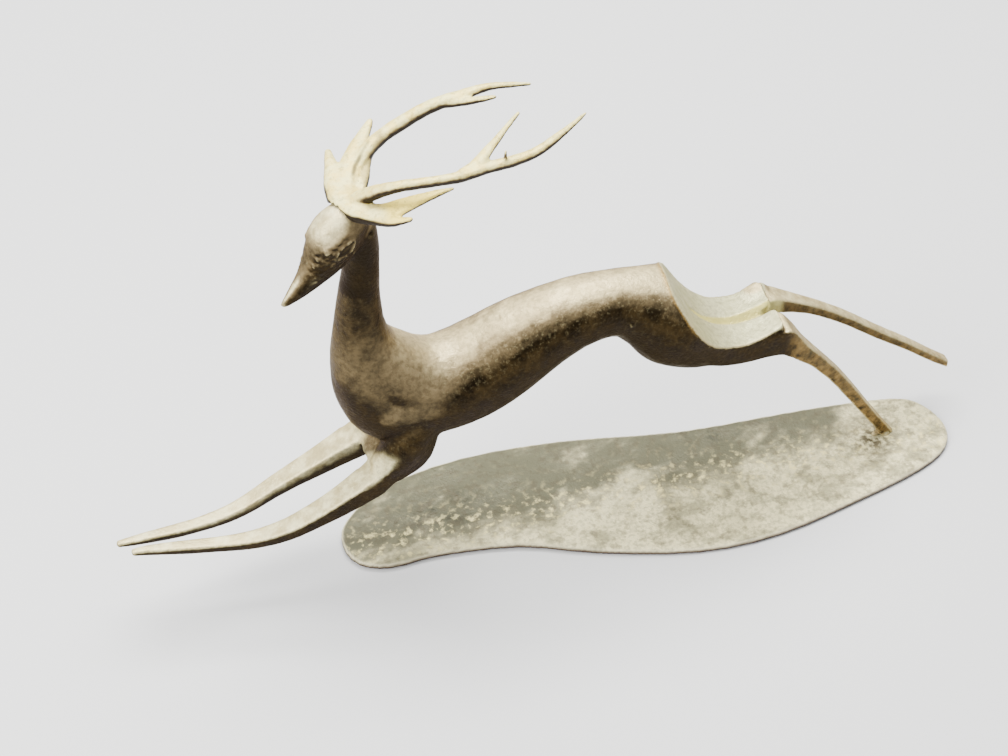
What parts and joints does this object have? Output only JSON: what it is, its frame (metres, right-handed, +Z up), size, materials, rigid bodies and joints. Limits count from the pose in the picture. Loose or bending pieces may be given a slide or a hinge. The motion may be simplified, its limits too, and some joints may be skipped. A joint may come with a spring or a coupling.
{
  "type": "deer sculpture",
  "caption": "Slender leaping deer in patinated bronze with swept-back antlers, standing by one hind hoof on a thin free-form plate; a table ornament.",
  "frame": {"origin": "middle of the plate's length on its flat underside, in the middle plane of the deer", "axes": "+X from the head to the tail end, +Y to the deer's far flank as it is pictured, +Z up"},
  "size_m": [0.2324, 0.0519, 0.1391],
  "materials": {
    "body_bronze": "dark brown patina, satin",
    "antler_bronze": "rubbed pale yellow, satin",
    "plate_bronze": "grey-green verdigris, matt"
  },
  "bodies": {
    "root": {"deer": "body_bronze", "antlers": "antler_bronze", "base_plate": "plate_bronze"}
  },
  "joints": []
}
